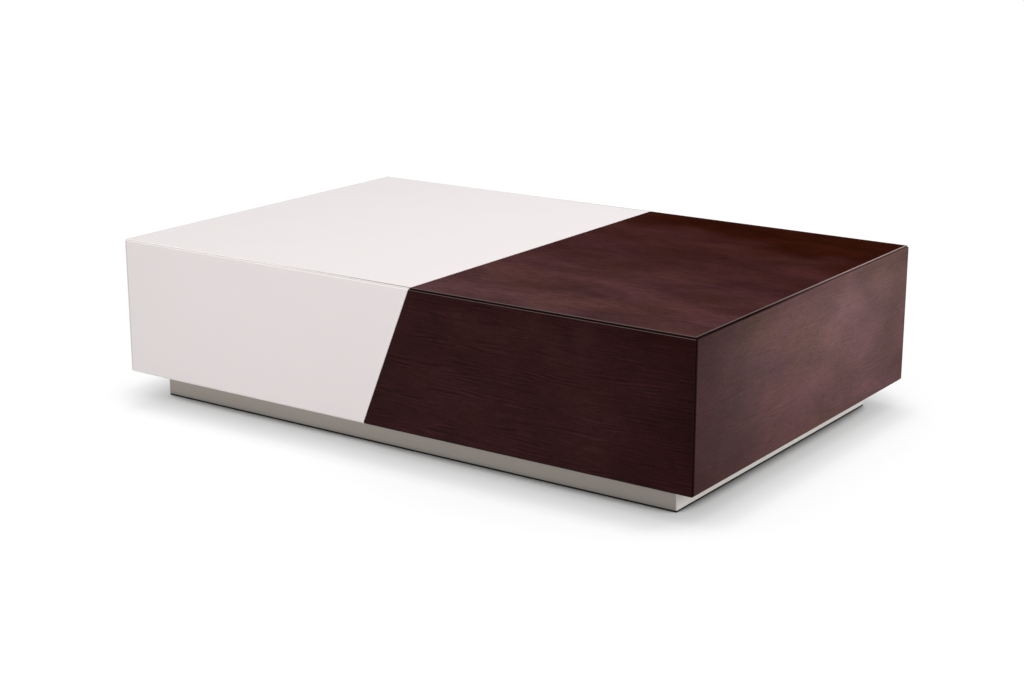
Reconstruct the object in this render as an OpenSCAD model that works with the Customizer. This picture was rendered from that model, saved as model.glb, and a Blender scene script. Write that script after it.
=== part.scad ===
// Block coffee table in two halves. The white half is a hood of four mitred panels that slides
// off the dark half along the table's length and opens a storage well.
// Millimetres. The origin is on the floor under the table's middle, +X towards the dark end,
// +Y to the back, +Z up. Everything is drawn closed.

/* [Overall] */
// Length of the closed table
table_l = 1400; // [1300:10:1600]
// Width of the table, front to back
table_w = 900; // [700:10:1100]
// Height of the table top above the floor
table_h = 350; // [300:5:420]
// Thickness of the outer panels
panel_t = 22; // [18:1:25]
// Width of the small bevel that eases every outer edge
arris = 4; // [1.5:0.5:5]
// Width of the fine groove along the mitres
joint_gap = 1.6; // [0.6:0.1:2]
// Depth of that groove below the bevel
joint_depth = 2.5; // [1:0.5:4]

/* [Seam] */
// Length of the white half along the top
white_l = 770; // [720:10:850]
// How much shorter the white half is at its lower edge
seam_slant = 120; // [60:5:160]
// Gap between the two halves when closed, along X
seam_gap = 1; // [0.6:0.1:2]
// Width of the bevel that eases the seam's edges
seam_arris = 0.6; // [0.2:0.1:1]
// Diameter of a closing bumper
bumper_d = 8; // [6:1:12]

/* [Plinth] */
// Height of the panels' lower edge above the floor
shell_z = 56; // [45:1:80]
// Setback of the plinth from each end of the table
plinth_end_inset = 62; // [50:1:100]
// Setback of the plinth from the front and back
plinth_side_inset = 52; // [46:1:90]
// Thickness of the plinth rails
plinth_t = 18; // [15:1:22]
// Width of the bevel on the plinth's upright corners
plinth_arris = 1.5; // [0.5:0.5:3]
// Distance of each cross rail from the table's middle
cross_rail_x = 210; // [150:10:280]
// Length of a plinth block along X
block_l = 60; // [54:1:80]
// Width of a plinth block along Y
block_w = 45; // [36:1:60]
// Distance from a block's screw to the block's end beside it
block_edge = 18; // [14:1:24]
// Thickness of the foot strips, which lift the plinth off the floor
foot_t = 4; // [2:0.5:6]
// Width of the foot strips
foot_w = 14; // [10:1:15]
// Setback of the foot strips from the plinth's faces
foot_back = 1; // [0.5:0.5:3]

/* [Carcass] */
// Thickness of the inner boards
board_t = 18; // [15:1:22]
// Clear space between the white end panel and the carcass
end_space = 28; // [24:1:40]
// Clear space between the inner walls and the sliding top
top_space = 2; // [1:0.5:4]
// Setback of the partition from the seam at the table top
partition_back = 6; // [4:1:20]
// Width of the cleat under the seam
cleat_w = 40; // [32:1:60]
// Side of the square battens in the panels' corners
batten_s = 18; // [14:1:20]
// Thickness of the white side battens, which pass beside the carcass
side_batten_t = 12; // [8:1:14]
// Leg of the triangular corner blocks in the dark half
dark_block_leg = 40; // [25:1:50]
// Leg of those in the white half, which pass beside the carcass
white_block_leg = 24; // [16:1:24]
// Width of the loose splines in the mitres
spline_w = 12; // [8:1:14]
// Thickness of the loose splines in the mitres
spline_t = 4; // [3:0.5:5]

/* [Runners] */
// Closed length of a runner, which is also its travel
runner_l = 450; // [350:50:550]
// Height of the runners' centreline above the floor
runner_z = 210; // [160:5:230]
// Distance of the runners from the carcass's white end
runner_setback = 10; // [5:1:20]
// Thickness of the runners' steel
steel_t = 2; // [1.6:0.1:2.2]
// Diameter of the bearing balls
ball_d = 4.76; // [4:0.01:5.2]
// Height of the ball rows above and below the centreline
row_z = 18.5; // [15:0.5:22]
// Balls in one row of a cage
row_balls = 8; // [5:1:10]
// Strip of a cage beyond its last ball
cage_margin = 8; // [6:1:12]
// Length of the rubber block that stops the middle member
stop_l = 10; // [6:1:14]
// Length of the tabs that stop the cages at full travel
tab_l = 3; // [2:0.5:5]
// Height of those tabs
tab_h = 10; // [6:1:14]
// Diameter of the access holes in a middle member
access_d = 13; // [10:1:16]

/* [Screws] */
// Diameter of the runner screws
runner_screw_d = 4; // [3:0.1:4.4]
// Length of the runner screws
runner_screw_l = 14; // [10:1:15]
// Diameter of the carcass and plinth screws
board_screw_d = 4.5; // [3.5:0.1:5]
// Length of the screws through the base panel into the walls
wall_screw_l = 45; // [35:1:60]
// How far the plinth screws reach into the base panel
plinth_screw_bite = 10; // [6:1:13]

/* [Hidden] */

WHITE = -1; // the white half's end is at -X
DARK = 1;
$fn = 48;

half_l = table_l / 2;
half_w = table_w / 2;
top_under = table_h - panel_t; // underside of the top panels
shell_h = table_h - shell_z;
seam_tilt = atan(seam_slant / shell_h); // of the seam plane from upright

// the runner's section, from the wall at 0 to the sliding panel at runner_w
ball_clear = 0.12;
race_r = ball_d / 2 + ball_clear;
roll_r = race_r + steel_t; // outside of a rolled edge, and how far its balls lie from the web's back
member_gap = 1; // between the outer and inner members
runner_w = 4 * roll_r + member_gap;
lip_h = 0.8;
flange_gap = 0.4; // from a lip down to the middle member's flange
flange_top = row_z - lip_h - flange_gap;
flange_floor_t = 1.5; // steel left under a groove
beam_web_t = 2.4;
cage_gap = 0.35; // from a cage to the member beside it
cage_t = 0.6;
flange_inset = steel_t + 2 * cage_gap + cage_t; // leaves the cage room beside the web
cage_shelf_t = 0.5;
shelf_drop = 0.75; // from a ball row to the outer face of the cage's shelf
cage_shelf_z = row_z - shelf_drop;
window_clear = 0.15;
ball_window_d = ball_d + 2 * window_clear;
tab_past_cage = 0.3;
tab_out = cage_gap + cage_t + tab_past_cage; // how far a tab stands out of a channel's web
stop_gap = 2;
middle_l = runner_l - stop_l - stop_gap;
tab_gap = 2; // from a cage to its tab at full travel
quarter = runner_l / 4; // how far a cage runs along each of its two members
cage_l = 2 * (middle_l - tab_l - tab_gap - quarter) - runner_l;
cage_x = (runner_l - cage_l) / 2;
ball_pitch = (cage_l - 2 * cage_margin) / (row_balls - 1);
runner_hole_inset = 35;
runner_holes = [runner_hole_inset, runner_l / 2, runner_l - runner_hole_inset];

// carcass
wall_out = half_w - panel_t - runner_w; // outer face of the side walls
wall_in = wall_out - board_t;
carcass_x0 = -half_l + panel_t + end_space;
well_x0 = carcass_x0 + board_t;
base_top = shell_z + board_t;
wall_top = top_under - top_space;
seam_top_x = -half_l + white_l;
partition_x0 = seam_top_x + partition_back;
partition_x1 = partition_x0 + board_t;
cleat_x0 = partition_x0 - cleat_w;
notch_gap = 2; // from the white panels' closed ends to the wide part of the base panel
notch_x = seam_x(base_top) + notch_gap;
runner_x0 = carcass_x0 + runner_setback;

// plinth
plinth_x = half_l - plinth_end_inset;
plinth_y = half_w - plinth_side_inset;
plinth_screw_l = shell_z - foot_t + plinth_screw_bite;

foot_joint = 0.5; // between the ends of two foot strips
screw_clear = 0.1;
// a screw's cross recess, in multiples of the screw's diameter
recess_across = 1.2;
recess_slot = 0.26;
recess_depth = 0.4;
spline_clear = 0.1;
spline_depth = 0.6 * panel_t; // from the outer corner to the spline's middle, along each panel
spline_end = 40; // keeps the splines apart at the corners
block_lift = 4; // from the panels' lower edge to the white corner blocks
batten_end = 40; // from the seam to the white side battens
wall_screw_inset = 60;
side_wall_screws = 4;
left_wall_screws = 3;
partition_screws = 4;
bumper_heights = [0.3, 0.7]; // as shares of the panels' height
felt_margin = 2;
felt_gap = 0.3;
cut = 1; // how far a cutter runs past the face that it opens

// x of the seam plane at height z
function seam_x(z) = seam_top_x - seam_slant * (table_h - z) / shell_h;

// x of the sloping edge of a half's panels
function edge_x(half, z) = seam_x(z) + half * seam_gap / 2;

// evenly spread places from one value to another, both included
function spread(from, to, count) = [
    for (i = [0 : count - 1]) from + (to - from) * i / (count - 1)
];

// Extrusions of outlines drawn in real coordinates
module along_x(x0, x1) {
    translate([x0, 0, 0]) rotate([90, 0, 90]) linear_extrude(x1 - x0) children();
}

module along_y(y0, y1) {
    translate([0, y1, 0]) rotate([90, 0, 0]) linear_extrude(y1 - y0) children();
}

module along_z(z0, z1) {
    translate([0, 0, z0]) linear_extrude(z1 - z0) children();
}

module board(low, high) {
    translate(low) cube(high - low);
}

module front_side() {
    mirror([0, 1, 0]) children();
}

module both_sides() {
    children();
    front_side() children();
}

// Screws
// countersunk wood screw with its flat face at 0, pointing up; grow widens it into its own hole
module wood_screw(length, d, grow = 0) {
    r = d / 2 + grow;
    head_r = d + grow;
    tip_l = d;
    start = grow > 0 ? -cut : 0;
    difference() {
        rotate_extrude() polygon([
            [0, start], [head_r, start], [head_r, 0], [r, head_r - r],
            [r, length - tip_l], [0, length + grow]
        ]);
        if (grow == 0) cross_recess(d);
    }
}

module cross_recess(d) {
    reach = d * recess_across / 2;
    slot = d * recess_slot / 2;
    for (turn = [0, 90]) rotate(turn)
        board([-reach, -slot, -cut], [reach, slot, d * recess_depth]);
}

// places of the screws through the base panel: x, y
function carcass_screw_places() =
    let (
        reach = wall_in - wall_screw_inset,
        along = spread(carcass_x0 + wall_screw_inset, partition_x0 - wall_screw_inset,
                       side_wall_screws)
    ) [
        for (x = along, side = [-1, 1]) [x, side * (wall_in + board_t / 2)],
        for (y = spread(-reach, reach, left_wall_screws)) [carcass_x0 + board_t / 2, y],
        for (y = spread(-reach, reach, partition_screws)) [partition_x0 + board_t / 2, y]
    ];

module carcass_screw_set(grow = 0) {
    for (p = carcass_screw_places())
        translate([p[0], p[1], shell_z]) wood_screw(wall_screw_l, board_screw_d, grow);
}

module carcass_screws() {
    color("goldenrod") carcass_screw_set();
}

// in a frame at the runner's start, its wall face and its centreline
module wall_side_screws(grow = 0) {
    for (x = runner_holes)
        translate([x, steel_t, 0]) rotate([90, 0, 0])
            wood_screw(runner_screw_l, runner_screw_d, grow);
}

module hood_side_screws(grow = 0) {
    for (x = runner_holes)
        translate([x, runner_w - steel_t, 0]) rotate([-90, 0, 0])
            wood_screw(runner_screw_l, runner_screw_d, grow);
}

module at_runner() {
    translate([runner_x0, wall_out, runner_z]) children();
}

module runner_wall_screws() {
    color("goldenrod") both_sides() at_runner() wall_side_screws();
}

module runner_hood_screws() {
    color("goldenrod") both_sides() at_runner() hood_side_screws();
}

// Shells: a white and a dark half of one eased block, each of four mitred panels
function finish(half) = half == WHITE ? "white" : "#43282a";

module eased_outline(x0, y0, x1, y1, ease = arris) {
    polygon([
        [x0 + ease, y0], [x1 - ease, y0], [x1, y0 + ease], [x1, y1 - ease],
        [x1 - ease, y1], [x0 + ease, y1], [x0, y1 - ease], [x0, y0 + ease]
    ]);
}

module eased_block() {
    intersection() {
        along_z(shell_z, table_h) eased_outline(-half_l, -half_w, half_l, half_w);
        along_y(-half_w, half_w) eased_outline(-half_l, shell_z, half_l, table_h);
        along_x(-half_l, half_l) eased_outline(-half_w, shell_z, half_w, table_h);
    }
}

// everything on a half's side of its sloping edge, with that edge eased at the front and back
module half_space(half) {
    outer = half * table_l;
    translate([edge_x(half, shell_z), 0, shell_z]) rotate([0, seam_tilt, 0])
        along_z(-table_h, 2 * table_h) polygon([
            [outer, -half_w], [half * seam_arris, -half_w], [0, -half_w + seam_arris],
            [0, half_w - seam_arris], [half * seam_arris, half_w], [outer, half_w]
        ]);
}

module top_panel(half) {
    end = half * half_l;
    color(finish(half)) difference() {
        intersection() {
            eased_block();
            along_y(-half_w, half_w) polygon([
                [end, table_h], [edge_x(half, table_h) + half * seam_arris, table_h],
                [edge_x(half, table_h - seam_arris), table_h - seam_arris],
                [edge_x(half, top_under), top_under], [end - half * panel_t, top_under]
            ]);
            along_x(-half_l, half_l) polygon([
                [-half_w, table_h], [half_w, table_h],
                [half_w - panel_t, top_under], [-half_w + panel_t, top_under]
            ]);
        }
        splines(half, spline_clear);
        joint_grooves(half);
    }
}

// the back panel; the front one is its mirror image
module side_panel(half) {
    end = half * half_l;
    inner_end = end - half * panel_t;
    color(finish(half)) difference() {
        intersection() {
            eased_block();
            half_space(half);
            along_x(-half_l, half_l) polygon([
                [half_w, shell_z], [half_w, table_h],
                [half_w - panel_t, top_under], [half_w - panel_t, shell_z]
            ]);
            along_z(shell_z, table_h) polygon([
                [end, half_w], [-end, half_w],
                [-end, half_w - panel_t], [inner_end, half_w - panel_t]
            ]);
        }
        splines(half, spline_clear);
        joint_grooves(half);
        if (half == WHITE) at_runner() hood_side_screws(screw_clear);
    }
}

module end_panel(half) {
    end = half * half_l;
    inner = end - half * panel_t;
    color(finish(half)) difference() {
        intersection() {
            eased_block();
            along_y(-half_w, half_w) polygon([
                [end, shell_z], [end, table_h], [inner, top_under], [inner, shell_z]
            ]);
            along_z(shell_z, table_h) polygon([
                [end, -half_w], [end, half_w],
                [inner, half_w - panel_t], [inner, -half_w + panel_t]
            ]);
        }
        splines(half, spline_clear);
        joint_grooves(half);
    }
}

// Bars in the five mitres of a half. depth is how far their middle lies in from the two outer
// faces, size their section across and along the mitre, short how far they end before a corner.
module mitre_bars(half, depth, size, short) {
    end_mid = half * (half_l - depth);
    side_mid = half_w - depth;
    top_mid = table_h - depth;
    far = half * (half_l - short);
    near = edge_x(half, table_h) + half * short;
    both_sides() along_x(min(near, far), max(near, far))
        translate([side_mid, top_mid]) rotate(-45) square(size, center = true);
    along_y(-half_w + short, half_w - short)
        translate([end_mid, top_mid]) rotate(-45 * half) square(size, center = true);
    both_sides() along_z(shell_z + short, table_h - short)
        translate([end_mid, side_mid]) rotate(-45 * half) square(size, center = true);
}

// loose tongues across the mitres; grow widens them into their slots
module splines(half, grow = 0) {
    size = [spline_w + 2 * grow, spline_t + 2 * grow];
    mitre_bars(half, spline_depth, size, spline_end - grow);
}

// what the fine grooves along the mitres take away
module joint_grooves(half) {
    depth = arris / 2 + joint_depth / sqrt(2);
    mitre_bars(half, depth / 2, [joint_gap, depth * sqrt(2)], -panel_t);
}

// square batten glued into the corner of the end panel, with its underside at low
module end_batten(half, low) {
    outer = half * (half_l - panel_t);
    inner = outer - half * batten_s;
    side = half_w - panel_t;
    board([min(outer, inner), -side, low], [max(outer, inner), side, low + batten_s]);
}

// battens beside the side panels, from x = near to the end batten
module side_battens(half, low, near, thickness) {
    far = half * (half_l - panel_t - batten_s);
    side = half_w - panel_t;
    both_sides() board([min(near, far), side - thickness, low],
                       [max(near, far), side, low + batten_s]);
}

// upright glue blocks in the corners of the end panel
module corner_blocks(half, leg, low) {
    both_sides() translate([half * (half_l - panel_t), half_w - panel_t, 0])
        along_z(low, top_under - batten_s) polygon([[0, 0], [-half * leg, 0], [0, -leg]]);
}

// Splines, battens and blocks
module white_splines() {
    color("burlywood") splines(WHITE);
}

module dark_splines() {
    color("burlywood") splines(DARK);
}

module white_end_batten() {
    color("burlywood") end_batten(WHITE, top_under - batten_s);
}

module white_side_battens() {
    low = top_under - batten_s;
    color("burlywood") side_battens(WHITE, low, seam_x(low) - batten_end, side_batten_t);
}

module white_corner_blocks() {
    color("burlywood") corner_blocks(WHITE, white_block_leg, shell_z + block_lift);
}

module dark_end_battens() {
    color("burlywood") for (low = [base_top, top_under - batten_s]) end_batten(DARK, low);
}

module dark_side_battens() {
    color("burlywood") for (low = [base_top, top_under - batten_s])
        side_battens(DARK, low, partition_x1, batten_s);
}

module dark_corner_blocks() {
    color("burlywood") corner_blocks(DARK, dark_block_leg, base_top + batten_s);
}

// soft discs on the sloping edges of the dark side panels, which the white half closes against
module seam_bumpers() {
    thickness = 0.75 * seam_gap * cos(seam_tilt);
    color("dimgray") both_sides() for (share = bumper_heights) {
        z = shell_z + share * shell_h;
        translate([edge_x(DARK, z), half_w - panel_t / 2, z]) rotate([0, seam_tilt - 90, 0])
            cylinder(h = thickness, d = bumper_d);
    }
}

// Carcass
module base_panel() {
    wide = half_w - panel_t;
    right = half_l - panel_t;
    color("saddlebrown") difference() {
        along_z(shell_z, base_top) polygon([
            [carcass_x0, -wall_out], [notch_x, -wall_out], [notch_x, -wide], [right, -wide],
            [right, wide], [notch_x, wide], [notch_x, wall_out], [carcass_x0, wall_out]
        ]);
        carcass_screw_set(screw_clear);
        plinth_screw_set(screw_clear);
    }
}

// the back wall of the well; the front one is its mirror image
module well_side_wall() {
    color("saddlebrown") difference() {
        board([carcass_x0, wall_in, base_top], [partition_x0, wall_out, wall_top]);
        carcass_screw_set(screw_clear);
        at_runner() wall_side_screws(screw_clear);
    }
}

module well_left_wall() {
    color("saddlebrown") difference() {
        board([carcass_x0, -wall_in, base_top], [well_x0, wall_in, wall_top]);
        carcass_screw_set(screw_clear);
    }
}

module well_partition() {
    side = half_w - panel_t;
    color("saddlebrown") difference() {
        board([partition_x0, -side, base_top], [partition_x1, side, top_under]);
        carcass_screw_set(screw_clear);
    }
}

// a shelf under the seam, with felt that the white top's free edge comes down on
module landing_cleat() {
    color("saddlebrown")
        board([cleat_x0, -wall_in, wall_top - board_t], [partition_x0, wall_in, wall_top]);
}

module landing_felt() {
    side = wall_in - felt_margin;
    color("dimgray")
        board([cleat_x0 + felt_margin, -side, wall_top],
              [edge_x(WHITE, top_under) - felt_margin, side, top_under - felt_gap]);
}

// Plinth
module eased_plinth() {
    along_z(foot_t, shell_z)
        eased_outline(-plinth_x, -plinth_y, plinth_x, plinth_y, plinth_arris);
}

module plinth_side_rail() {
    color("rosybrown") intersection() {
        eased_plinth();
        along_z(foot_t, shell_z) polygon([
            [-plinth_x, plinth_y], [plinth_x, plinth_y],
            [plinth_x - plinth_t, plinth_y - plinth_t], [-plinth_x + plinth_t, plinth_y - plinth_t]
        ]);
    }
}

module plinth_end_rail(half) {
    inner = half * (plinth_x - plinth_t);
    color("rosybrown") intersection() {
        eased_plinth();
        along_z(foot_t, shell_z) polygon([
            [half * plinth_x, -plinth_y], [half * plinth_x, plinth_y],
            [inner, plinth_y - plinth_t], [inner, -plinth_y + plinth_t]
        ]);
    }
}

module plinth_cross_rails() {
    inner = plinth_y - plinth_t;
    color("tan") for (half = [WHITE, DARK])
        board([half * cross_rail_x - plinth_t / 2, -inner, foot_t],
              [half * cross_rail_x + plinth_t / 2, inner, shell_z]);
}

// the glued blocks behind the back rail: x of the end that touches a rail, and which way it runs
function plinth_block_places() = [
    for (half = [WHITE, DARK]) each [
        [half * (plinth_x - plinth_t), -half],
        [half * (cross_rail_x + plinth_t / 2), half]
    ]
];

module plinth_blocks() {
    outer = plinth_y - plinth_t;
    color("tan") difference() {
        both_sides() for (p = plinth_block_places()) {
            far = p[0] + p[1] * block_l;
            board([min(p[0], far), outer - block_w, foot_t], [max(p[0], far), outer, shell_z]);
        }
        plinth_screw_set(screw_clear);
    }
}

module plinth_screw_set(grow = 0) {
    both_sides() for (p = plinth_block_places())
        translate([p[0] + p[1] * (block_l - block_edge), plinth_y - plinth_t - block_w / 2, foot_t])
            wood_screw(plinth_screw_l, board_screw_d, grow);
}

module plinth_screws() {
    color("goldenrod") plinth_screw_set();
}

// rubber strips glued under the rails, the end ones between the long ones
module foot_strips() {
    x = plinth_x - foot_back;
    y = plinth_y - foot_back;
    end_y = y - foot_w - foot_joint;
    color("black") {
        both_sides() board([-x, y - foot_w, 0], [x, y, foot_t]);
        for (x0 = [-x, x - foot_w]) board([x0, -end_y, 0], [x0 + foot_w, end_y, foot_t]);
    }
}

// Runners: an outer member on the carcass wall, a middle member and an inner member on the
// sliding panel. Balls in a cage run between each two of them. Drawn for the back runner in a
// frame at its start, the wall's face and the centreline: X along it, Y across it, Z up.
module channel_section() {
    translate([0, -row_z]) square([steel_t, 2 * row_z]);
    for (side = [-1, 1]) {
        translate([roll_r, side * row_z]) difference() {
            intersection() {
                circle(roll_r);
                translate([-roll_r, side > 0 ? 0 : -roll_r]) square([2 * roll_r, roll_r]);
            }
            circle(race_r);
        }
        translate([roll_r + race_r, side > 0 ? row_z - lip_h : -row_z]) square([steel_t, lip_h]);
    }
}

module middle_section() {
    flange_low = row_z - race_r - flange_floor_t;
    difference() {
        union() {
            translate([(runner_w - beam_web_t) / 2, -flange_top]) square([beam_web_t, 2 * flange_top]);
            for (z = [-flange_top, flange_low])
                translate([flange_inset, z])
                    square([runner_w - 2 * flange_inset, flange_top - flange_low]);
        }
        for (x = [roll_r, runner_w - roll_r], z = [-row_z, row_z])
            translate([x, z]) circle(race_r);
    }
}

// the sliding panel's side, seen from the wall's side
module hood_side() {
    translate([0, runner_w, 0]) mirror([0, 1, 0]) children();
}

// tab across a cage's way, at the cage's place when full travel has shifted it along the member
module stop_tab(shift, y0, y1) {
    x = shift < 0 ? cage_x + shift - tab_gap - tab_l : cage_x + cage_l + shift + tab_gap;
    board([x, y0, -tab_h / 2], [x + tab_l, y1, tab_h / 2]);
}

module outer_member() {
    color("silver") difference() {
        union() {
            along_x(0, runner_l) channel_section();
            stop_tab(-quarter, steel_t, steel_t + tab_out);
        }
        wall_side_screws(screw_clear);
    }
}

module inner_member() {
    color("silver") difference() {
        hood_side() {
            along_x(0, runner_l) channel_section();
            stop_tab(quarter, steel_t, steel_t + tab_out);
        }
        hood_side_screws(screw_clear);
    }
}

module middle_member() {
    reach = steel_t + cage_gap;
    color("gainsboro") difference() {
        union() {
            along_x(0, middle_l) middle_section();
            stop_tab(quarter, reach, runner_w / 2);
            hood_side() stop_tab(-quarter, reach, runner_w / 2);
        }
        for (x = [runner_holes[0], runner_holes[1]])
            translate([x, runner_w / 2, 0]) rotate([90, 0, 0])
                cylinder(h = beam_web_t + 2 * cut, d = access_d, center = true);
    }
}

// across: 0 for the balls beside the wall, 1 for those beside the sliding panel
module ball_places(across) {
    y = across ? runner_w - roll_r : roll_r;
    for (i = [0 : row_balls - 1], z = [-row_z, row_z])
        translate([cage_x + cage_margin + i * ball_pitch, y, z]) children();
}

module balls(across) {
    color("lightgray") ball_places(across) sphere(d = ball_d);
}

module cage_section() {
    translate([steel_t + cage_gap, -cage_shelf_z]) square([cage_t, 2 * cage_shelf_z]);
    shelf_w = roll_r + race_r - 2 * cage_gap - steel_t;
    for (z = [-cage_shelf_z, cage_shelf_z - cage_shelf_t])
        translate([steel_t + cage_gap, z]) square([shelf_w, cage_shelf_t]);
}

module cage(across) {
    window_h = 2 * (race_r + cage_shelf_t);
    color("darkkhaki") difference() {
        translate([0, across ? runner_w : 0, 0]) mirror([0, across, 0])
            along_x(cage_x, cage_x + cage_l) cage_section();
        ball_places(across) cylinder(h = window_h, d = ball_window_d, center = true);
    }
}

// rubber blocks at the closed ends of the outer members, which stop the middle ones
module runner_stops() {
    side = row_z - race_r - cage_gap;
    color("black") both_sides() at_runner()
        board([runner_l - stop_l, steel_t, -side],
              [runner_l, roll_r + race_r - cage_gap, side]);
}

front_side() plinth_side_rail();  // plinth_front_rail
plinth_side_rail();  // plinth_back_rail
plinth_end_rail(WHITE);  // plinth_left_rail
plinth_end_rail(DARK);  // plinth_right_rail
plinth_cross_rails();
plinth_blocks();
plinth_screws();
foot_strips();
base_panel();
front_side() well_side_wall();  // well_front_wall
well_side_wall();  // well_back_wall
well_left_wall();
well_partition();
carcass_screws();
landing_cleat();
landing_felt();
top_panel(DARK);  // dark_top_panel
front_side() side_panel(DARK);  // dark_front_panel
side_panel(DARK);  // dark_back_panel
end_panel(DARK);  // dark_end_panel
dark_end_battens();
dark_side_battens();
dark_corner_blocks();
dark_splines();
seam_bumpers();
top_panel(WHITE);  // white_top_panel
front_side() side_panel(WHITE);  // white_front_panel
side_panel(WHITE);  // white_back_panel
end_panel(WHITE);  // white_end_panel
white_end_batten();
white_side_battens();
white_corner_blocks();
white_splines();
front_side() at_runner() outer_member();  // runner_front_outer
at_runner() outer_member();  // runner_back_outer
front_side() at_runner() middle_member();  // runner_front_middle
at_runner() middle_member();  // runner_back_middle
front_side() at_runner() inner_member();  // runner_front_inner
at_runner() inner_member();  // runner_back_inner
runner_wall_screws();
runner_hood_screws();
runner_stops();
front_side() at_runner() cage(0);  // front_outer_cage
front_side() at_runner() balls(0);  // front_outer_balls
at_runner() cage(0);  // back_outer_cage
at_runner() balls(0);  // back_outer_balls
front_side() at_runner() cage(1);  // front_inner_cage
front_side() at_runner() balls(1);  // front_inner_balls
at_runner() cage(1);  // back_inner_cage
at_runner() balls(1);  // back_inner_balls
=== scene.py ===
# Looks of the sliding top coffee table: camera, studio, and the finish of every piece.
# Metres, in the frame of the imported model: +X to the dark end, +Y to the back, +Z up.
import math

import bpy
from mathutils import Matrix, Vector


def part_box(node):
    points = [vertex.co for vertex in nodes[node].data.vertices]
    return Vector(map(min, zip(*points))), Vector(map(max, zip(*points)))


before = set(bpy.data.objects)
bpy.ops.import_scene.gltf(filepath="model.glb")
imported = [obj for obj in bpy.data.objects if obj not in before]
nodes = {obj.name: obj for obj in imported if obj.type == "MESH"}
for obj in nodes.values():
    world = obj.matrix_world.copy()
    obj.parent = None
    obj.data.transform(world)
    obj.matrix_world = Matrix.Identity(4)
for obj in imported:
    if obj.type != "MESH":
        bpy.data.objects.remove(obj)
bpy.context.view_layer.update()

# Camera, fitted to the corners of the block in the photograph
IMAGE_WIDTH_PX = 1024
FOCAL_PX = 1885.4
SENSOR_MM = 36
CAMERA_PLACE = (2.2336, -3.1997, 1.2091)
CAMERA_TURN = 34.964  # degrees, away from looking along +Y
CAMERA_DIP = 15.438  # degrees below the horizon

# Lamps: name, place, what it shines at, width, watts
LAMPS = (
    ("softbox_right", (2.2, 0.5, 0.5), (0.7, 0.2, 0.25), 0.8, 6.9),
    ("softbox_front", (1.2, -4.2, 2.4), (0.0, 0.0, 0.2), 2.5, 37.0),
    ("softbox_overhead", (0.0, -0.1, 1.9), (0.0, -0.1, 0.35), 0.8, 1.44),
)
# Soft light from above, and from low all round: the height of its direction where each begins
# and where it's full, and its strength
LIGHT_LOBES = (0.3, 1.0, 1.25), (0.6, 0.0, 1.04)

# Floor
FLOOR_SIZE = 60
FLOOR_TONE = 0.8
FLOOR_LIT_SHARE = 1.2  # how much of the light on the floor the camera sees
FLOOR_GLOW = (0.9, 0.0), (2.2, 0.12)  # distance from the table's middle, and glow there
# Its soft shades close to the table, by how much of the sky nothing within their reach hides
SHADE_SHARE = 0.75  # in what the camera sees of the floor
SHADE_SAMPLES = 24
SHADE_LIFT = 0.075  # how much more open the floor counts past the table's ends
SHADE_ENDS = 0.62, 0.68  # where along X that lift begins, and where it's full
WIDE_REACH = 0.12
WIDE_TONE = 0.48  # how light the wide shade is where nothing is open
CONTACT_REACH = 0.3
CONTACT_OPEN = 0.15, 0.36  # how open the floor is where the contact shade is black, and ends

# Colours, linear
# Painted highlight: the white bevels, lighter than the lacquer
LACQUER_BEVEL_HIGHLIGHT = (0.97, 0.93, 0.92)
# Painted shade on the white corners
LACQUER_CORNER_SHADE = (0.52, 0.51, 0.48)
# Painted shade: the dark line along the white top's edge near the seam
LACQUER_SHADE_LINE = (0.13, 0.12, 0.11)
# Painted highlight on the plinth's bevels
PLINTH_CORNER_HIGHLIGHT = (0.70, 0.66, 0.61)
STAINED_PORE = (0.006, 0.002, 0.002)
ZINC_STEEL = (0.62, 0.63, 0.64)
CAGE_STEEL = (0.52, 0.50, 0.44)
BALL_STEEL = (0.72, 0.72, 0.72)
SCREW_ZINC = (0.66, 0.62, 0.52)
BLACK_RUBBER = (0.014, 0.014, 0.014)
# The dark and the light colour of a figure
CARCASS = (0.026, 0.011, 0.009), (0.060, 0.028, 0.023)
PINE = (0.47, 0.27, 0.12), (0.62, 0.42, 0.23)
BEECH = (0.44, 0.25, 0.14), (0.58, 0.36, 0.21)
GREY_FELT = (0.035, 0.034, 0.034), (0.13, 0.125, 0.12)
CLEAR_BUMPER = (0.72, 0.72, 0.70), (0.86, 0.86, 0.84)

# Colours that change along an axis, with painted light and shade in them: the axis, then (place
# along it in metres, colour there)
# The white top: painted light, lighter towards the seam
LACQUER_TOP_PAINTED_LIGHT = ("X", (-0.7, (0.829, 0.756, 0.756)), (0.05, (0.908, 0.830, 0.830)))
# The white sides: painted shade, darker at the left end
LACQUER_SIDES_PAINTED_SHADE = ("X", (-0.7, (0.848, 0.788, 0.785)), (-0.5, (0.87, 0.803, 0.802)))
# The plinth's front and back: painted shade, darker towards the dark end
PLINTH_SIDES_PAINTED_SHADE = ("X", (0.2, (0.465, 0.420, 0.375)), (0.6, (0.405, 0.366, 0.325)))
# The plinth's ends: painted light, much lighter near the floor
PLINTH_ENDS_PAINTED_LIGHT = ("Z", (0.008, (0.95, 0.91, 0.86)), (0.03, (0.60, 0.56, 0.51)))
# The dark veneer's bevels: dark at the front, a painted highlight towards the back
VENEER_BEVEL_PAINTED_LIGHT = (
    "Y", (-0.45, (0.018, 0.006, 0.006)), (-0.2, (0.018, 0.006, 0.006)),
    (0.1, (0.130, 0.064, 0.066)), (0.443, (0.130, 0.064, 0.066)),
    (0.446, (0.012, 0.004, 0.004)),
)
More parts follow.
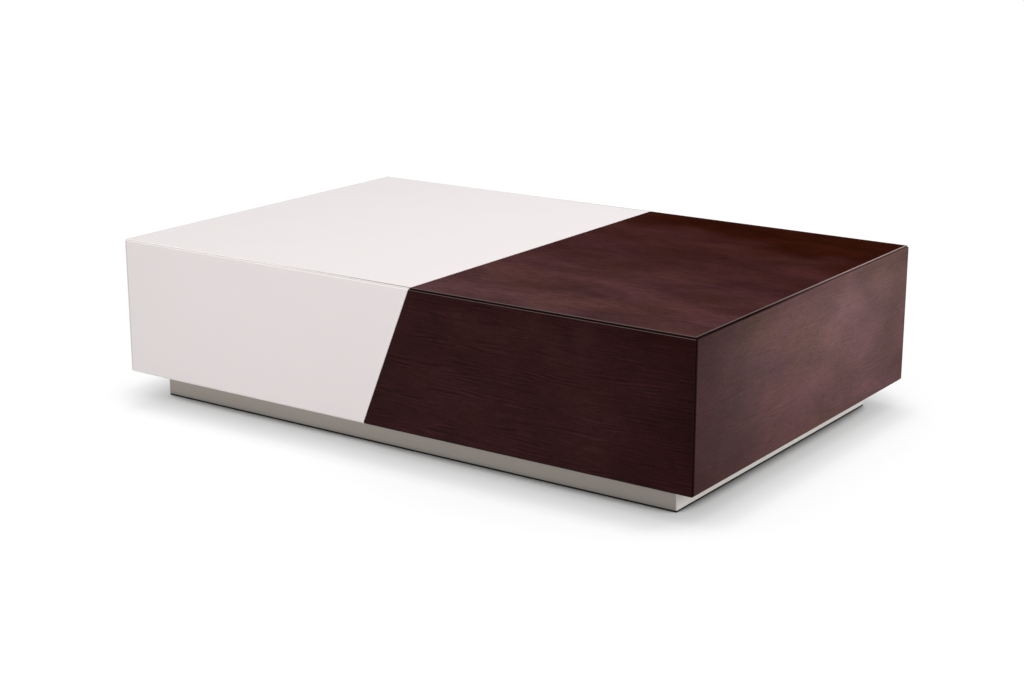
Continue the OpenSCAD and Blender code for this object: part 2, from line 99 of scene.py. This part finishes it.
# Painted highlight on the fine lines along the dark veneer's edges, brighter towards the back
VENEER_EDGE_HIGHLIGHT = (
    "Y", (-0.45, (0.125, 0.096, 0.088)), (-0.2, (0.150, 0.115, 0.105)),
    (0.2, (0.36, 0.29, 0.27)), (0.443, (0.36, 0.29, 0.27)), (0.446, (0.012, 0.004, 0.004)),
)
# Each dark panel's veneer tone with painted light and shade; the top lighter at the front,
# darker and redder towards the back
TOP_VENEER_PAINTED_LIGHT = (
    "Y", (-0.45, (0.0940, 0.0426, 0.0431)), (-0.3, (0.0860, 0.0355, 0.0366)),
    (-0.16, (0.0740, 0.0288, 0.0286)), (0.0, (0.0572, 0.0199, 0.0205)),
    (0.2, (0.0578, 0.0185, 0.0172)), (0.32, (0.0355, 0.0076, 0.0041)),
)
# The front: painted shade, darker towards the end
FRONT_VENEER_PAINTED_SHADE = (
    "X", (0.0, (0.0318, 0.0107, 0.0111)), (0.5, (0.0314, 0.0102, 0.0106)),
    (0.62, (0.0242, 0.0069, 0.0072)), (0.7, (0.0186, 0.0047, 0.0047)),
)
# The end: painted light, lightest a little behind the middle
END_VENEER_PAINTED_LIGHT = (
    "Y", (-0.45, (0.0604, 0.0250, 0.0262)), (-0.3, (0.0890, 0.0432, 0.0435)),
    (-0.1, (0.126, 0.0612, 0.0635)), (0.2, (0.163, 0.0830, 0.0852)),
    (0.45, (0.112, 0.0560, 0.0575)),
)
# What such colours are multiplied by, from the lower edge up: painted light and shade by height
PLINTH_SIDES_PAINTED_LIGHT_BY_HEIGHT = (
    "Z", (0.005, (0.70, 0.70, 0.70)), (0.012, (0.89, 0.89, 0.89)),
    (0.03, (1.06, 1.055, 1.05)), (0.054, (1.14, 1.13, 1.12)),
)
FRONT_PAINTED_LIGHT_BY_HEIGHT = (
    "Z", (0.08, (1.03, 1.04, 1.04)), (0.18, (1.0, 1.01, 1.01)), (0.245, (0.90, 0.88, 0.88)),
    (0.3, (1.02, 1.02, 1.02)), (0.335, (0.88, 0.80, 0.74)),
)
END_PAINTED_LIGHT_BY_HEIGHT = (
    "Z", (0.08, (0.79, 0.76, 0.73)), (0.15, (0.90, 0.89, 0.885)),
    (0.2, (0.95, 0.965, 0.965)), (0.26, (1.035, 1.08, 1.05)), (0.3, (0.975, 1.035, 0.975)),
    (0.335, (0.80, 0.83, 0.765)),
)

# Marks in the stained veneer: length along the grain and width across it
PATCH = 0.2, 0.11
RUN = 0.04, 0.008
FLOCK = 0.13, 0.03
DASH = 0.035, 0.011
FIBRE = 0.03, 0.0009
PORE = 0.009, 0.00045
RIPPLE_BEND = 0.3, 0.03
CLOUD_WIDTH = 0.085
CURL_SIZE = 0.007
RIPPLE_PITCH = 0.0068
RIPPLE_WANDER = 6.0  # how far the bends shift the ripples at most, in ripples
FIBRE_STRENGTH = 0.15
PORE_STRENGTH = 0.4
VENEER_RELIEF = 0.00012
PATCH_TINT = (0.4, (1.0, 0.995, 0.90)), (0.6, (1.0, 0.965, 1.0))  # at values of its noise
# Between which values of their noise these marks come in
RUN_SHOWS = 0.36, 0.60
FLOCK_SHOWS = 0.32, 0.58
PORE_SHOWS = 0.60, 0.72
# How the colours along the axis wander: from place to place, and at most how far
DRIFT_SIZE = 0.16
DRIFT = 0.1
DARK_MIDDLE = 0.38  # where along X the colours are skewed about

# Marks in the other woods and in steel, again length and width
CARCASS_BAND = 0.3, 0.03
CARCASS_FIBRE = 0.06, 0.0022
RING_LENGTH = 0.35
PINE_RING = 0.006
BEECH_RING = 0.01
FLECK = 0.004, 0.0005
DRAWN_LINE = 0.12, 0.0007
SATIN_GRAIN = 0.002
SPANGLE = 0.02
# Between which values of their noise the flecks come in, how strongly, and how dark they are
FLECK_SHOWS = 0.62, 0.72
FLECK_STRENGTH = 0.45
FLECK_SHADE = 0.6  # of the wood's dark colour

# Between which values of a noise a contrast, or a roughness, goes from one end to the other
CONTRAST_SPAN = 0.25, 0.75
ROUGHNESS_SPAN = 0.3, 0.7

# The eased edges round the block, as they were built, and the fine lines of painted highlight
# and shade along them
BLOCK_ENDS = dict(zip("XYZ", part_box("dark_top_panel")[1]))
BEVEL = 0.004
BEVEL_SLANT = 0.75, 0.86  # largest part of the normal: less on a bevel, more on a flat face
EDGE_LINE = 0.0004  # how far a line reaches
LINE_BLUR = 0.2  # how much of that is blurred, inwards and outwards
# Between which places along X the lacquer's dark line of painted shade comes in, and the
# plinth's corners lighten with painted highlight
LACQUER_SHADE_LINE_IN = -0.4, 0.05
PLINTH_HIGHLIGHT_IN = -0.1, 0.1
PLINTH_HIGHLIGHT_DIM = 0.4  # how light they are before that, as a share


def even(value):
    """The same along all three axes, or in all three colours."""
    return (value,) * 3


def rgba(colour, factor=1.0):
    return tuple(c * factor for c in colour) + (1.0,)


def along_grain(grain, length, width):
    """Pattern sizes: length along the grain's axis, width across it."""
    return tuple(length if axis == grain else width for axis in "XYZ")


class Graph:
    """Short calls to build the nodes of a tree. Pattern sizes are in metres."""

    def __init__(self, tree):
        self.tree = tree

    def node(self, kind, inputs=None, **settings):
        made = self.tree.nodes.new(kind)
        for name, value in settings.items():
            setattr(made, name, value)
        for name, value in (inputs or {}).items():
            self.feed(made.inputs[name], value)
        return made

    def feed(self, socket, value):
        if isinstance(value, bpy.types.NodeSocket):
            self.tree.links.new(value, socket)
        else:
            socket.default_value = value

    def coordinate(self, axis):
        """How far along an axis of the frame, in metres."""
        where = self.node("ShaderNodeTexCoord").outputs["Object"]
        return self.node("ShaderNodeSeparateXYZ", {0: where}).outputs[axis]

    def noise(self, sizes, detail=2.0, roughness=0.5, distortion=0.0):
        """Noise whose marks have these sizes along X, Y and Z, from 0 to 1."""
        where = self.node("ShaderNodeTexCoord").outputs["Object"]
        scale = tuple(1 / size for size in sizes)
        mapping = self.node("ShaderNodeMapping", {"Vector": where, "Scale": scale})
        made = self.node("ShaderNodeTexNoise", {
            "Vector": mapping.outputs["Vector"], "Scale": 1.0, "Detail": detail,
            "Roughness": roughness, "Distortion": distortion,
        })
        return made.outputs["Fac"]

    def math(self, operation, a, b=0.0):
        made = self.node("ShaderNodeMath", {0: a, 1: b}, operation=operation)
        return made.outputs["Value"]

    def product(self, first, *others):
        for other in others:
            first = self.math("MULTIPLY", first, other)
        return first

    def blend(self, share, a, b):
        """A share of a, and the rest of b."""
        return self.math("ADD", self.product(a, share), self.product(b, 1 - share))

    def between(self, value, low, high, to_low=0.0, to_high=1.0):
        """value's step from low to high, smoothed, as a number from to_low to to_high."""
        made = self.node("ShaderNodeMapRange", {
            "Value": value, "From Min": low, "From Max": high,
            "To Min": to_low, "To Max": to_high,
        }, interpolation_type="SMOOTHSTEP")
        return made.outputs["Result"]

    def below(self, value, limit):
        """1 where value is less than limit, 0 where it's more, a little blurred."""
        return self.between(value, (1 - LINE_BLUR) * limit, (1 + LINE_BLUR) * limit, 1.0, 0.0)

    def mix(self, share, a, b, blend="MIX"):
        made = self.node("ShaderNodeMix", data_type="RGBA", blend_type=blend)
        colours = [s for s in made.inputs if s.type == "RGBA"]
        self.feed(made.inputs["Factor"], share)
        self.feed(colours[0], a)
        self.feed(colours[1], b)
        return next(s for s in made.outputs if s.type == "RGBA")

    def tinted(self, colour, tint):
        """colour times tint."""
        return self.mix(1.0, colour, tint, "MULTIPLY")

    def ramp(self, value, *stops):
        made = self.node("ShaderNodeValToRGB", {"Fac": value})
        elements = made.color_ramp.elements
        while len(elements) < len(stops):
            elements.new(0.5)
        for element, (position, colour) in zip(elements, stops):
            element.position = position
            element.color = rgba(colour)
        return made.outputs["Color"]

    def along(self, painted_light_gradient, drift=0.0):
        """The colour of a gradient of (axis, (place, colour), ...), here painted light and
        shade; drift moves the place.
        """
        axis, *stops = painted_light_gradient
        low, high = stops[0][0], stops[-1][0]
        shares = [((at - low) / (high - low), colour) for at, colour in stops]
        place = self.math("ADD", self.coordinate(axis), drift)
        span = {"Value": place, "From Min": low, "From Max": high}
        return self.ramp(self.node("ShaderNodeMapRange", span).outputs["Result"], *shares)

    def ripples(self, grain):
        """Nearly parallel waves across the grain, from -1 to 1."""
        across = [self.coordinate(axis) for axis in "XYZ" if axis != grain]
        turns = self.math("DIVIDE", self.math("ADD", *across), RIPPLE_PITCH)
        bend = self.noise(along_grain(grain, *RIPPLE_BEND), detail=2)
        turns = self.math("ADD", turns, self.product(bend, RIPPLE_WANDER))
        return self.math("SINE", self.product(turns, 2 * math.pi))

    def bevels(self):
        """1 on faces that slant, as the narrow bevels along the edges do, 0 on the others."""
        normal = self.node("ShaderNodeTexCoord").outputs["Normal"]
        absolute = self.node("ShaderNodeVectorMath", {0: normal}, operation="ABSOLUTE")
        parts = self.node("ShaderNodeSeparateXYZ", {0: absolute.outputs["Vector"]}).outputs
        largest = self.math("MAXIMUM", parts["X"], parts["Y"])
        largest = self.math("MAXIMUM", largest, parts["Z"])
        return self.between(largest, *BEVEL_SLANT, 1.0, 0.0)

    def inset(self, axis):
        """How far in from where the block ends on an axis, on Z from its top."""
        away = self.math("ABSOLUTE", self.coordinate(axis))
        return self.math("SUBTRACT", BLOCK_ENDS[axis], away)

    def upper_line(self):
        """1 on the fine line where the top meets its bevels."""
        edge = self.math("MINIMUM", self.inset("X"), self.inset("Y"))
        past = self.math("SUBTRACT", edge, BEVEL)
        return self.product(self.below(past, EDGE_LINE), self.below(self.inset("Z"), EDGE_LINE))

    def lower_line(self):
        """1 on the fine line where the bevels meet the front and the back."""
        past = self.math("ABSOLUTE", self.math("SUBTRACT", self.inset("Z"), BEVEL))
        return self.product(self.below(past, EDGE_LINE), self.below(self.inset("Y"), EDGE_LINE))

    def corner_line(self):
        """1 on the line where the front and the back meet the bevels of the corners."""
        past = self.math("ABSOLUTE", self.math("SUBTRACT", self.inset("X"), BEVEL))
        line = self.below(past, 2 * EDGE_LINE)
        return self.product(line, self.below(self.inset("Y"), EDGE_LINE))

    def openness(self, reach, lift):
        """How much of the sky nothing within reach hides, and lift more."""
        made = self.node("ShaderNodeAmbientOcclusion", {"Distance": reach},
                         samples=SHADE_SAMPLES)
        return self.math("MINIMUM", self.math("ADD", made.outputs["AO"], lift), 1.0)

    def seen(self):
        """1 for what the camera sees, also mirrored or through clear plastic, 0 for light."""
        rays = self.node("ShaderNodeLightPath").outputs
        direct = self.math("MAXIMUM", rays["Is Camera Ray"], rays["Is Glossy Ray"])
        return self.math("MAXIMUM", direct, rays["Is Transmission Ray"])


class Finish(Graph):
    """A material on one Principled shader. sockets are its inputs with one value all over."""

    def __init__(self, name, **sockets):
        self.material = bpy.data.materials.new(name)
        self.material.use_nodes = True
        super().__init__(self.material.node_tree)
        self.shader = self.tree.nodes["Principled BSDF"]
        for socket, value in sockets.items():
            self.set(socket.replace("_", " "), value)

    def set(self, name, value):
        self.feed(self.shader.inputs[name], value)

    def roughen(self, figure, at_low, at_high):
        """Roughness that follows a figure."""
        self.set("Roughness", self.between(figure, *ROUGHNESS_SPAN, at_low, at_high))

    def emboss(self, figure, depth):
        """Relief that follows a figure, its depth in metres."""
        inputs = {"Height": figure, "Distance": depth, "Strength": 1.0}
        self.set("Normal", self.node("ShaderNodeBump", inputs).outputs["Normal"])


# Finishes
def stained_veneer(name, grain, painted_light_gradient, gloss, cloud, smoke, dash, ripple, mottle, skew=0.0,
                   painted_light_by_height=None):
    """Dark stained oak veneer, its colours along the axis painted light and shade. cloud is the
    length of a cloud along the grain; smoke, dash, ripple and mottle say how strong each
    figure is; skew is how far those colours are moved along their axis for each metre along X,
    which slants the painted light; the painted light and shade by height multiplies them."""
    finish = Finish(name, Specular_IOR_Level=gloss)

    def streaks(size, **settings):
        return finish.noise(along_grain(grain, *size), **settings)

    def contrast(value, strength):
        """The figure as a factor about 1."""
        return finish.between(value, *CONTRAST_SPAN, 1 - strength, 1 + strength)

    wander = finish.between(finish.noise(even(DRIFT_SIZE), detail=2), 0.0, 1.0, -DRIFT, DRIFT)
    # The skew slants the painted light along X
    off_middle = finish.math("SUBTRACT", finish.coordinate("X"), DARK_MIDDLE)
    drift = finish.math("ADD", wander, finish.product(off_middle, skew))
    # Painted light and shade: the panel's colours along its axis
    colour = finish.along(painted_light_gradient, drift)

    clouds = streaks((cloud, CLOUD_WIDTH), detail=4, distortion=0.4)
    patches = streaks(PATCH, detail=2)
    runs = finish.between(streaks(RUN, detail=2), *RUN_SHOWS)
    flocks = finish.between(streaks(FLOCK, detail=1), *FLOCK_SHOWS)
    waves = finish.product(finish.ripples(grain), runs, flocks, ripple)
    dashes = streaks(DASH, detail=3, roughness=0.6)
    fibres = streaks(FIBRE, detail=3, roughness=0.7)
    curls = finish.noise(even(CURL_SIZE), detail=4, roughness=0.65, distortion=1.2)
    pores = finish.between(streaks(PORE, detail=1), *PORE_SHOWS)

    figure = finish.product(contrast(clouds, smoke), contrast(fibres, FIBRE_STRENGTH),
                            contrast(dashes, dash), contrast(curls, mottle),
                            finish.math("ADD", waves, 1.0))
    colour = finish.tinted(colour, figure)
    # Painted light and shade by height
    if painted_light_by_height:
        colour = finish.tinted(colour, finish.along(painted_light_by_height))
    colour = finish.tinted(colour, finish.ramp(patches, *PATCH_TINT))
    colour = finish.mix(finish.product(pores, PORE_STRENGTH), colour, rgba(STAINED_PORE))
    # Dark bevels at the front, a painted highlight on them towards the back
    colour = finish.mix(finish.bevels(), colour, finish.along(VENEER_BEVEL_PAINTED_LIGHT))
    # Painted highlight on the fine lines along the edges
    lines = finish.math("MAXIMUM", finish.upper_line(), finish.lower_line())
    finish.set("Base Color", finish.mix(lines, colour, finish.along(VENEER_EDGE_HIGHLIGHT)))
    finish.roughen(clouds, at_low=0.5, at_high=0.6)
    finish.emboss(finish.math("SUBTRACT", waves, pores), VENEER_RELIEF)
    return finish.material


def carcass_veneer(name, grain):
    """The plainer, more even brown of the inner boards."""
    finish = Finish(name, Specular_IOR_Level=0.2)
    dark, light = CARCASS
    bands = finish.noise(along_grain(grain, *CARCASS_BAND), detail=3, distortion=0.6)
    fibres = finish.noise(along_grain(grain, *CARCASS_FIBRE), detail=4, roughness=0.65)
    tone = finish.blend(0.5, bands, fibres)
    finish.set("Base Color", finish.ramp(tone, (0.35, dark), (0.65, light)))
    finish.roughen(fibres, at_low=0.48, at_high=0.62)
    finish.emboss(fibres, depth=0.00008)
    return finish.material


def white_lacquer(name, painted_light_gradient):
    """Gloss lacquer, a little warm, with the faint waviness that sprayed coats keep."""
    finish = Finish(name, Specular_IOR_Level=0.2, Coat_Weight=0.18, Coat_Roughness=0.06)
    clouds = finish.noise(even(0.35), detail=2)
    fade = finish.ramp(clouds, (0.0, even(0.985)), (1.0, even(1.01)))
    # Painted light and shade: the colours along X, tinted by a random fade
    colour = finish.tinted(finish.along(painted_light_gradient), fade)
    # Painted highlight on the bevels
    colour = finish.mix(finish.bevels(), colour, rgba(LACQUER_BEVEL_HIGHLIGHT))
    # Painted shade: a dark line along the top's edge, coming in towards the seam
    near_seam = finish.between(finish.coordinate("X"), *LACQUER_SHADE_LINE_IN)
    line = finish.product(finish.upper_line(), near_seam)
    colour = finish.mix(line, colour, rgba(LACQUER_SHADE_LINE))
    # Painted shade on the corners
    colour = finish.mix(finish.corner_line(), colour, rgba(LACQUER_CORNER_SHADE))
    finish.set("Base Color", colour)
    finish.roughen(clouds, at_low=0.18, at_high=0.26)
    finish.emboss(finish.noise(even(0.004), detail=1), depth=0.000006)
    return finish.material


def plinth_paint(name, painted_light_gradient, painted_light_by_height=None):
    """Satin warm grey paint, rolled on board. Its colours along the axis are painted light and
    shade, the painted light and shade by height multiplies them where given, and its bevels
    carry a painted highlight.
    """
    finish = Finish(name, Specular_IOR_Level=0.4)
    stipple = finish.noise(even(0.0012), detail=2)
    clouds = finish.noise((0.25, 0.25, 0.08), detail=3)
    fade = finish.ramp(clouds, (0.0, even(0.95)), (1.0, even(1.05)))
    # Painted light and shade: the colours along the axis, tinted by a random fade
    colour = finish.tinted(finish.along(painted_light_gradient), fade)
    # Painted light and shade by height
    if painted_light_by_height:
        colour = finish.tinted(colour, finish.along(painted_light_by_height))
    # Painted highlight on the bevels, dimmer towards the left
    to_right = finish.between(finish.coordinate("X"), *PLINTH_HIGHLIGHT_IN)
    dim = rgba(PLINTH_CORNER_HIGHLIGHT, PLINTH_HIGHLIGHT_DIM)
    corner_highlight = finish.mix(to_right, dim, rgba(PLINTH_CORNER_HIGHLIGHT))
    finish.set("Base Color", finish.mix(finish.bevels(), colour, corner_highlight))
    finish.roughen(stipple, at_low=0.36, at_high=0.48)
    finish.emboss(stipple, depth=0.00003)
    return finish.material


def raw_wood(name, grain, colours, ring_width):
    """Unfinished planed wood: growth rings and short dark flecks."""
    finish = Finish(name, Specular_IOR_Level=0.3)
    dark, light = colours
    rings = finish.noise(along_grain(grain, RING_LENGTH, ring_width), detail=3, distortion=0.7)
    flecks = finish.noise(along_grain(grain, *FLECK), detail=1)
    colour = finish.ramp(rings, (0.38, dark), (0.62, light))
    marks = finish.between(flecks, *FLECK_SHOWS, 0.0, FLECK_STRENGTH)
    finish.set("Base Color", finish.mix(marks, colour, rgba(dark, FLECK_SHADE)))
    finish.roughen(rings, at_low=0.7, at_high=0.56)
    finish.emboss(finish.math("SUBTRACT", rings, flecks), depth=0.00006)
    return finish.material


def metal(name, tone, roughness, drawn_along=None):
    """Steel: drawn lines along an axis, or an even satin."""
    finish = Finish(name, Metallic=1.0)
    sizes = along_grain(drawn_along, *DRAWN_LINE) if drawn_along else even(SATIN_GRAIN)
    lines = finish.noise(sizes, detail=3, roughness=0.6)
    spangle = finish.noise(even(SPANGLE), detail=2)
    finish.set("Base Color", finish.mix(spangle, rgba(tone, 0.9), rgba(tone, 1.08)))
    dull = finish.between(lines, *CONTRAST_SPAN, roughness * 0.75, roughness * 1.3)
    finish.set("Roughness", dull)
    finish.emboss(lines, depth=0.000008)
    return finish.material


def moulded(name, tone, roughness, grain_size):
    """Rubber with a fine moulded grain."""
    finish = Finish(name, Specular_IOR_Level=0.2)
    texture = finish.noise(even(grain_size), detail=2)
    finish.set("Base Color", finish.mix(texture, rgba(tone, 0.8), rgba(tone, 1.2)))
    finish.roughen(texture, at_low=roughness * 0.85, at_high=roughness * 1.1)
    finish.emboss(texture, depth=grain_size * 0.05)
    return finish.material


def grey_felt():
    """Pressed felt: matted fibres with a soft sheen."""
    finish = Finish("grey_felt", Roughness=0.95, Specular_IOR_Level=0.1, Sheen_Weight=0.35,
                    Sheen_Roughness=0.5)
    dark, light = GREY_FELT
    fibres = finish.noise((0.0016, 0.0005, 0.0008), detail=4, roughness=0.7, distortion=2.0)
    tufts = finish.noise(even(0.008), detail=3)
    tone = finish.blend(0.6, fibres, tufts)
    finish.set("Base Color", finish.ramp(tone, (0.35, dark), (0.65, light)))
    finish.emboss(fibres, depth=0.0004)
    return finish.material


def clear_bumper():
    """Clear soft plastic, a little milky."""
    finish = Finish("clear_bumper", Roughness=0.18, IOR=1.45, Transmission_Weight=0.5)
    dark, light = CLEAR_BUMPER
    haze = finish.noise(even(0.002), detail=2)
    finish.set("Base Color", finish.mix(haze, rgba(dark), rgba(light)))
    return finish.material


def paint(material, *names):
    for name in names:
        slots = nodes[name].data.materials
        if len(slots) == 0:
            slots.append(material)
        for i in range(len(slots)):
            slots[i] = material


def finish_shells_and_plinth():
    # The dark veneers, the two white lacquers and the two plinth paints are lit and shaded
    # copies of one finish each: their colours carry painted light and shade
    paint(stained_veneer("dark_veneer_top", "X", TOP_VENEER_PAINTED_LIGHT, gloss=0.0, cloud=0.2, smoke=0.24,
                         dash=0.14, ripple=0.06, mottle=0.08, skew=0.3), "dark_top_panel")
    paint(stained_veneer("dark_veneer_sides", "X", FRONT_VENEER_PAINTED_SHADE, gloss=0.02, cloud=0.11,
                         smoke=0.18, dash=0.1, ripple=0.34, mottle=0.1, painted_light_by_height=FRONT_PAINTED_LIGHT_BY_HEIGHT),
          "dark_front_panel", "dark_back_panel")
    paint(stained_veneer("dark_veneer_end", "Y", END_VENEER_PAINTED_LIGHT, gloss=0.03, cloud=0.2, smoke=0.22,
                         dash=0.04, ripple=0.1, mottle=0.1, painted_light_by_height=END_PAINTED_LIGHT_BY_HEIGHT),
          "dark_end_panel")
    paint(white_lacquer("white_lacquer_top", LACQUER_TOP_PAINTED_LIGHT), "white_top_panel")
    paint(white_lacquer("white_lacquer_sides", LACQUER_SIDES_PAINTED_SHADE), "white_front_panel",
          "white_back_panel", "white_end_panel")
    paint(plinth_paint("plinth_paint_sides_painted_shade", PLINTH_SIDES_PAINTED_SHADE, PLINTH_SIDES_PAINTED_LIGHT_BY_HEIGHT),
          "plinth_front_rail", "plinth_back_rail")
    paint(plinth_paint("plinth_paint_ends_painted_light", PLINTH_ENDS_PAINTED_LIGHT), "plinth_left_rail",
          "plinth_right_rail")


def finish_inner_wood():
    paint(carcass_veneer("carcass_veneer_lengthways", "X"), "base_panel", "well_front_wall",
          "well_back_wall")
    paint(carcass_veneer("carcass_veneer_across", "Y"), "well_left_wall", "well_partition",
          "landing_cleat")
    paint(raw_wood("raw_pine", "Y", PINE, PINE_RING), "plinth_cross_rails")
    paint(raw_wood("raw_pine_blocks", "X", PINE, PINE_RING), "plinth_blocks")
    paint(raw_wood("raw_beech_lengthways", "X", BEECH, BEECH_RING), "dark_side_battens",
          "white_side_battens", "dark_splines", "white_splines")
    paint(raw_wood("raw_beech_across", "Y", BEECH, BEECH_RING), "dark_end_battens",
          "white_end_batten")
    paint(raw_wood("raw_beech_upright", "Z", BEECH, BEECH_RING), "dark_corner_blocks",
          "white_corner_blocks")


def finish_hardware():
    members = [f"runner_{side}_{part}" for side in ("front", "back")
               for part in ("outer", "middle", "inner")]
    cages = [f"{side}_{row}_cage" for side in ("front", "back") for row in ("outer", "inner")]
    balls = [name.replace("cage", "balls") for name in cages]
    paint(metal("zinc_steel", ZINC_STEEL, roughness=0.32, drawn_along="X"), *members)
    paint(metal("cage_steel", CAGE_STEEL, roughness=0.38, drawn_along="X"), *cages)
    paint(metal("ball_steel", BALL_STEEL, roughness=0.08), *balls)
    paint(metal("screw_zinc", SCREW_ZINC, roughness=0.3), "carcass_screws", "plinth_screws",
          "runner_wall_screws", "runner_hood_screws")
    paint(moulded("black_rubber", BLACK_RUBBER, roughness=0.75, grain_size=0.0008),
          "foot_strips", "runner_stops")
    paint(grey_felt(), "landing_felt")
    paint(clear_bumper(), "seam_bumpers")


# Studio
def floor_glow(finish):
    """Light of the floor's own, far from the table, so that it stays white there."""
    where = finish.node("ShaderNodeTexCoord").outputs["Object"]
    away = finish.node("ShaderNodeVectorMath", {0: where}, operation="LENGTH").outputs["Value"]
    (near, near_glow), (far, far_glow) = FLOOR_GLOW
    strength = finish.between(away, near, far, near_glow, far_glow)
    glow = finish.node("ShaderNodeEmission", {"Color": rgba(even(1)), "Strength": strength})
    return glow.outputs["Emission"]


def floor_shade(finish):
    """The darker of the wide shade and the contact shade."""
    away = finish.math("ABSOLUTE", finish.coordinate("X"))
    lift = finish.between(away, *SHADE_ENDS, 0.0, SHADE_LIFT)
    wide = finish.math("POWER", finish.openness(WIDE_REACH, lift), 2.0)
    wide = finish.math("ADD", finish.product(wide, 1 - WIDE_TONE), WIDE_TONE)
    contact = finish.between(finish.openness(CONTACT_REACH, lift), *CONTACT_OPEN)
    tone = finish.math("MINIMUM", wide, contact)
    shade = finish.node("ShaderNodeEmission", {"Color": tone, "Strength": 1.0})
    return shade.outputs["Emission"]


def floor_material():
    """White where nothing shades it, also in reflections; it keeps the table's soft shadow,
    and a closer shade where the table hides most of the sky. To the light it's plain."""
    finish = Finish("studio_floor")
    tree = finish.tree
    tree.nodes.remove(finish.shader)
    bright = finish.node("ShaderNodeBsdfDiffuse", {"Color": rgba(even(FLOOR_LIT_SHARE))})
    lit = finish.node("ShaderNodeAddShader", {0: bright.outputs["BSDF"], 1: floor_glow(finish)})
    shown = finish.node("ShaderNodeMixShader", {0: SHADE_SHARE, 1: lit.outputs["Shader"],
                                               2: floor_shade(finish)})
    plain = finish.node("ShaderNodeBsdfDiffuse", {"Color": rgba(even(FLOOR_TONE))})
    mixed = finish.node("ShaderNodeMixShader", {0: finish.seen(), 1: plain.outputs["BSDF"],
                                               2: shown.outputs["Shader"]})
    surface = tree.nodes["Material Output"].inputs["Surface"]
    tree.links.new(mixed.outputs["Shader"], surface)
    return finish.material


def make_floor():
    half = FLOOR_SIZE / 2
    mesh = bpy.data.meshes.new("studio_floor")
    corners = [(-half, -half, 0), (half, -half, 0), (half, half, 0), (-half, half, 0)]
    mesh.from_pydata(corners, [], [(0, 1, 2, 3)])
    floor = bpy.data.objects.new("studio_floor", mesh)
    bpy.context.scene.collection.objects.link(floor)
    mesh.materials.append(floor_material())


def make_world():
    """Light from two wide lobes; plain white where it is seen or mirrored."""
    world = bpy.data.worlds.new("studio")
    bpy.context.scene.world = world
    world.use_nodes = True
    graph = Graph(world.node_tree)
    background = world.node_tree.nodes["Background"]
    background.inputs["Color"].default_value = rgba(even(1))
    direction = graph.node("ShaderNodeTexCoord").outputs["Generated"]
    height = graph.node("ShaderNodeSeparateXYZ", {0: direction}).outputs["Z"]
    light = 0.0
    for begin, full, strength in LIGHT_LOBES:
        light = graph.math("ADD", light, graph.between(height, begin, full, 0.0, strength))
    shown = graph.node("ShaderNodeMix", {"Factor": graph.seen(), "A": light, "B": 1.0})
    graph.feed(background.inputs["Strength"], shown.outputs["Result"])


def area_lamp(name, place, aim, width, watts):
    lamp = bpy.data.lights.new(name, "AREA")
    lamp.shape = "DISK"
    lamp.size = width
    lamp.energy = watts
    holder = bpy.data.objects.new(name, lamp)
    holder.visible_camera = False
    holder.visible_glossy = False
    holder.location = place
    direction = Vector(aim) - Vector(place)
    holder.rotation_euler = direction.to_track_quat("-Z", "Y").to_euler()
    bpy.context.scene.collection.objects.link(holder)


def make_camera():
    camera = bpy.data.cameras.new("camera")
    camera.sensor_width = SENSOR_MM
    camera.lens = FOCAL_PX / IMAGE_WIDTH_PX * SENSOR_MM
    holder = bpy.data.objects.new("camera", camera)
    holder.location = CAMERA_PLACE
    holder.rotation_euler = (math.radians(90 - CAMERA_DIP), 0, math.radians(CAMERA_TURN))
    bpy.context.scene.collection.objects.link(holder)
    bpy.context.scene.camera = holder


bpy.context.scene.view_settings.view_transform = "Standard"
make_camera()
make_world()
for lamp in LAMPS:
    area_lamp(*lamp)
make_floor()
finish_shells_and_plinth()
finish_inner_wood()
finish_hardware()
